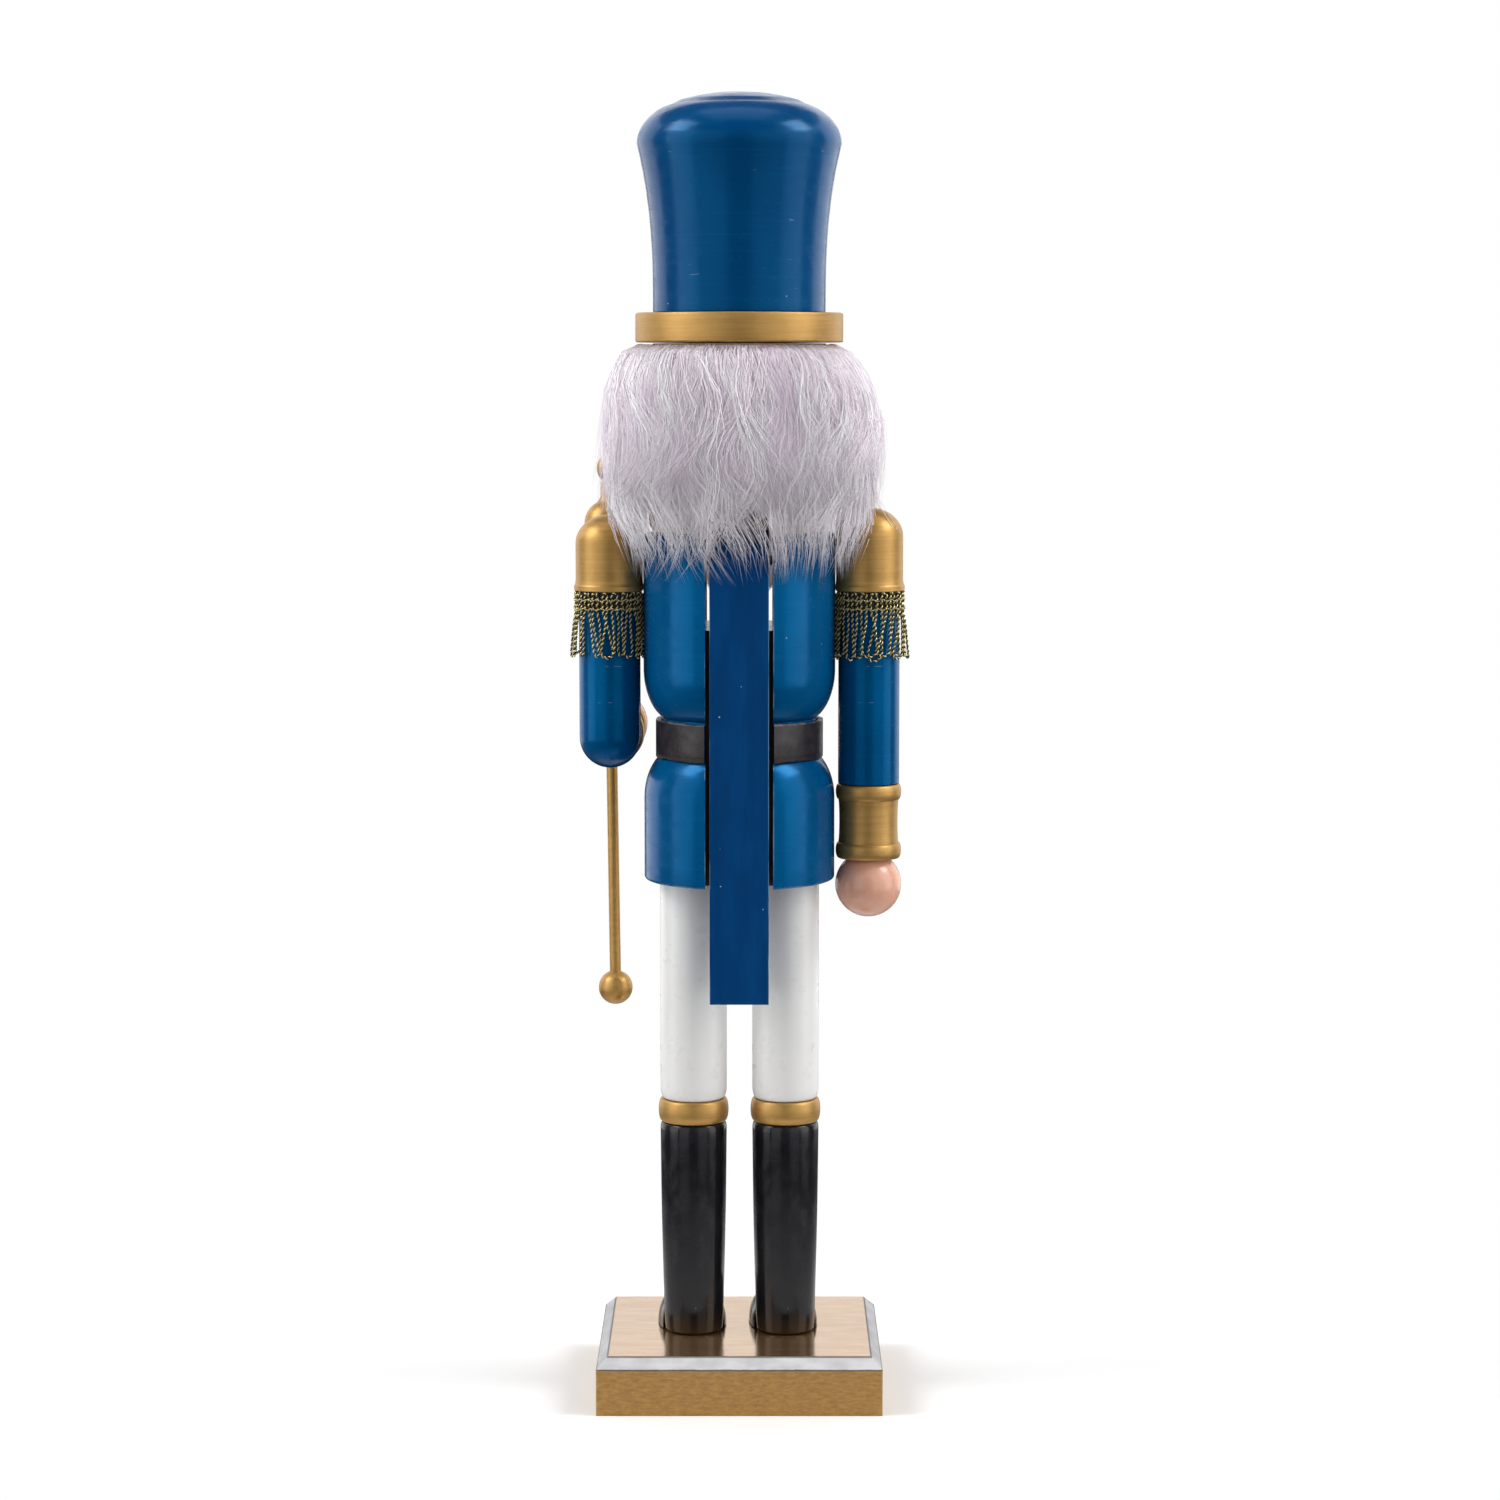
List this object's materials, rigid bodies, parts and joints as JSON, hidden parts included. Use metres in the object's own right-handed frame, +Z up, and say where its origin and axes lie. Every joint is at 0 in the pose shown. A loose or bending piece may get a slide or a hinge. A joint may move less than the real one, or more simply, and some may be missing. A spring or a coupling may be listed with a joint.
{
  "type": "nutcracker figure",
  "caption": "Turned wooden nutcracker soldier in a tall hat, with fur hair, a staff and a working jaw lever down its back, standing on a chamfered plinth.",
  "frame": {"origin": "on the underside of the plinth, below the axis that the hat, head and coat are turned on", "axes": "+Z up; the soldier faces -Y, so the lever's tail is on the +Y side; its right, straight arm is at -X and its left, bent arm with the staff is at +X"},
  "size_m": [0.0994, 0.095, 0.381],
  "materials": {
    "blue_lacquer": "gloss blue lacquer on turned wood",
    "blue_paint": "satin blue paint on a flat board, grain showing",
    "gold_paint": "satin metallic gold paint on wood",
    "white_paint": "satin white paint on wood",
    "black_lacquer": "gloss black lacquer on turned wood",
    "belt_leatherette": "semi-gloss dark leatherette strip",
    "flesh_paint": "satin flesh paint on turned wood",
    "faux_fur": "long-pile pale lilac-white faux fur",
    "gold_cord": "twisted metallic gold cord",
    "bare_wood": "unpainted dowel",
    "steel": "plain steel pin and screws"
  },
  "bodies": {
    "figure": {"arm_dowel_left": "bare_wood", "arm_dowel_right": "bare_wood", "arm_right": "blue_lacquer", "base_plinth": "gold_paint", "belt": "belt_leatherette", "belt_buckle": "gold_paint", "boot_left": "black_lacquer", "boot_right": "black_lacquer", "boot_toe_left": "black_lacquer", "boot_toe_right": "black_lacquer", "button_lower_left": "gold_paint", "button_lower_right": "gold_paint", "button_upper_left": "gold_paint", "button_upper_right": "gold_paint", "coat": "blue_lacquer", "cuff_left": "gold_paint", "cuff_right": "gold_paint", "epaulette_left": "gold_paint", "epaulette_right": "gold_paint", "forearm_left": "blue_lacquer", "fringe_left": "gold_cord", "fringe_right": "gold_cord", "hair": "faux_fur", "hand_left": "flesh_paint", "hand_right": "flesh_paint", "hat_badge": "gold_paint", "hat_brim": "gold_paint", "hat_crown": "blue_lacquer", "hat_dowel": "bare_wood", "head": "flesh_paint", "knee_band_left": "gold_paint", "knee_band_right": "gold_paint", "leg_left": "white_paint", "leg_right": "white_paint", "moustache": "white_paint", "neck_dowel_left": "bare_wood", "neck_dowel_right": "bare_wood", "nose": "flesh_paint", "pivot_pin": "steel", "plinth_screw_left": "steel", "plinth_screw_right": "steel", "staff_foot": "gold_paint", "staff_head": "gold_paint", "staff_knob": "gold_paint", "staff_rod": "gold_paint", "upper_arm_left": "blue_lacquer"},
    "lever": {"beard": "faux_fur", "jaw_lever": "blue_paint"}
  },
  "joints": [
    {"name": "jaw_pivot", "type": "hinge", "parent": "figure", "child": "lever", "pos_m": [0, 0, 0.246], "axis": [1, 0, 0], "range_deg": [0, 24]}
  ]
}
